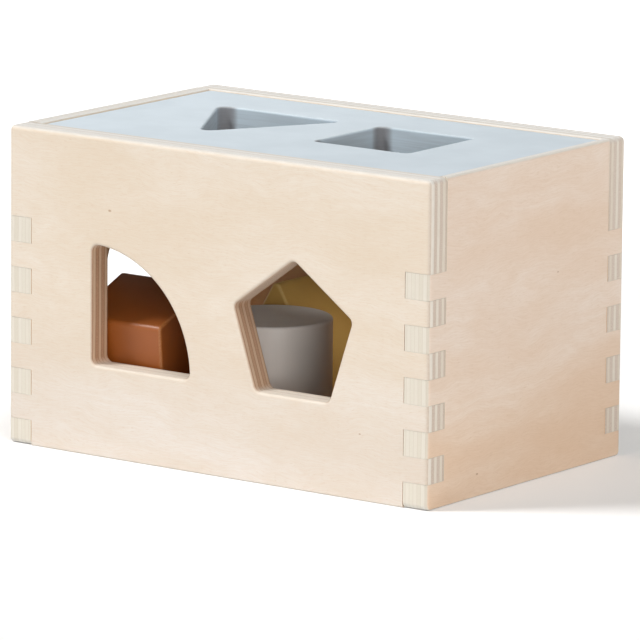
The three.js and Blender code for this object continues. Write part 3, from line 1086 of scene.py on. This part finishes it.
def make_blocks():
    """The five painted blocks."""
    brown = paint("brown_stain", *BROWN, X, 5.0, BROWN_ROUGHNESS, BROWN_SHINE)
    grey = paint("pale_grey_paint", *WARM_GREY, grain=Z, seed=15.0)
    olive = paint("olive_paint", *OLIVE, grain=Y, seed=25.0)
    slate = paint("slate_paint", *SLATE, grain=Z, seed=35.0)
    clay = paint("clay_paint", *CLAY_RED, grain=Z, seed=45.0)
    dress(pentagon_block(), "pentagon", "pentagon_block", brown)
    dress(cylinder_block(), "cylinder", "cylinder_block", grey)
    dress(triangle_block(), "triangle", "triangle_block", olive)
    dress(square_block(), "square", "square_block", slate)
    dress(quarter_block(), "quarter", "quarter_block", clay)


def seen_directly(tree):
    """1 for a ray from the camera, a reflection or a glass, 0 for light on its way."""
    path = tree.nodes.new("ShaderNodeLightPath")
    total = path.outputs["Is Camera Ray"]
    for kind in ("Is Glossy Ray", "Is Transmission Ray"):
        most = tree.nodes.new("ShaderNodeMath")
        most.operation = "MAXIMUM"
        tree.links.new(total, most.inputs[0])
        tree.links.new(path.outputs[kind], most.inputs[1])
        total = most.outputs[0]
    return total


def make_floor():
    """A wide white sheet under the box, lifted to white where it is seen and keeping its shadow, and lifted
    more on the left of the box as painted light over a lamp's shadow.
    """
    corners = rectangle((-FLOOR_HALF, -FLOOR_HALF), (FLOOR_HALF, FLOOR_HALF))
    mesh = bpy.data.meshes.new("floor")
    mesh.from_pydata([(x, y, 0) for x, y in corners], [], [(0, 1, 2, 3)])
    floor = bpy.data.objects.new("floor", mesh)
    bpy.context.scene.collection.objects.link(floor)
    finish = Finish("white_floor")
    finish.shader.inputs["Base Color"].default_value = FLOOR_GREY
    finish.shader.inputs["Roughness"].default_value = FLOOR_ROUGHNESS
    finish.shader.inputs["Specular IOR Level"].default_value = FLOOR_SHINE
    finish.shader.inputs["Emission Color"].default_value = WHITE
    # The lift to white, stronger left of the box: there it is painted light that hides a lamp's shadow
    lift_and_left_light = finish.ramp(finish.place()[X], *FLOOR_LEFT_LIGHT_LENGTH, *FLOOR_LIFT_AND_LEFT_LIGHT)
    lift_and_left_light = finish.times(seen_directly(finish.tree), lift_and_left_light)
    finish.feed(finish.shader.inputs["Emission Strength"], lift_and_left_light)
    mesh.materials.append(finish.material)


def make_world():
    """White where it is seen, and an even soft light otherwise."""
    world = bpy.data.worlds.new("studio")
    world.use_nodes = True
    bpy.context.scene.world = world
    tree = world.node_tree
    sky = tree.nodes["Background"]
    sky.inputs["Color"].default_value = WHITE
    level = tree.nodes.new("ShaderNodeMapRange")
    tree.links.new(seen_directly(tree), level.inputs["Value"])
    level.inputs["To Min"].default_value = SKY_LIGHT
    level.inputs["To Max"].default_value = SKY_SEEN
    tree.links.new(level.outputs[0], sky.inputs["Strength"])


def make_lamp(name, azimuth, elevation, spread, level, colour):
    """A far soft lamp, at an azimuth left of the front and an elevation above the floor, in degrees.

    level is what a white card that faces it gives back, which is the lamp's strength over pi.
    """
    lamp = bpy.data.lights.new(name, "SUN")
    lamp.angle = math.radians(spread)
    lamp.energy = level * math.pi
    lamp.color = colour
    holder = bpy.data.objects.new(name, lamp)
    bpy.context.scene.collection.objects.link(holder)
    flat = math.cos(math.radians(elevation))
    towards = Vector((
        -math.sin(math.radians(azimuth)) * flat,
        -math.cos(math.radians(azimuth)) * flat,
        math.sin(math.radians(elevation)),
    ))
    holder.matrix_world = towards.to_track_quat("Z", "Y").to_matrix().to_4x4()


def make_lamps():
    """A high lamp at the left that casts the shadow, a low one at the right and a high one over the end."""
    make_lamp("left_lamp", *LEFT_LAMP)
    make_lamp("low_lamp", *LOW_LAMP)
    make_lamp("end_lamp", *END_LAMP)


def make_camera():
    """The camera at the picture's own angle, with no shift and everything sharp."""
    data = bpy.data.cameras.new("camera")
    data.lens = LENS
    data.sensor_width = SENSOR
    data.dof.use_dof = False
    camera = bpy.data.objects.new("camera", data)
    bpy.context.scene.collection.objects.link(camera)
    turn = np.stack([LOOK_RIGHT, -np.array(LOOK_DOWN), -np.array(LOOK_AHEAD)], axis=1)
    camera.matrix_world = Matrix.Translation(EYE) @ Matrix(turn.tolist()).to_4x4()
    bpy.context.scene.camera = camera


make_camera()
make_box()
make_lid()
make_blocks()
make_floor()
make_world()
make_lamps()
bpy.context.scene.view_settings.view_transform = "Standard"
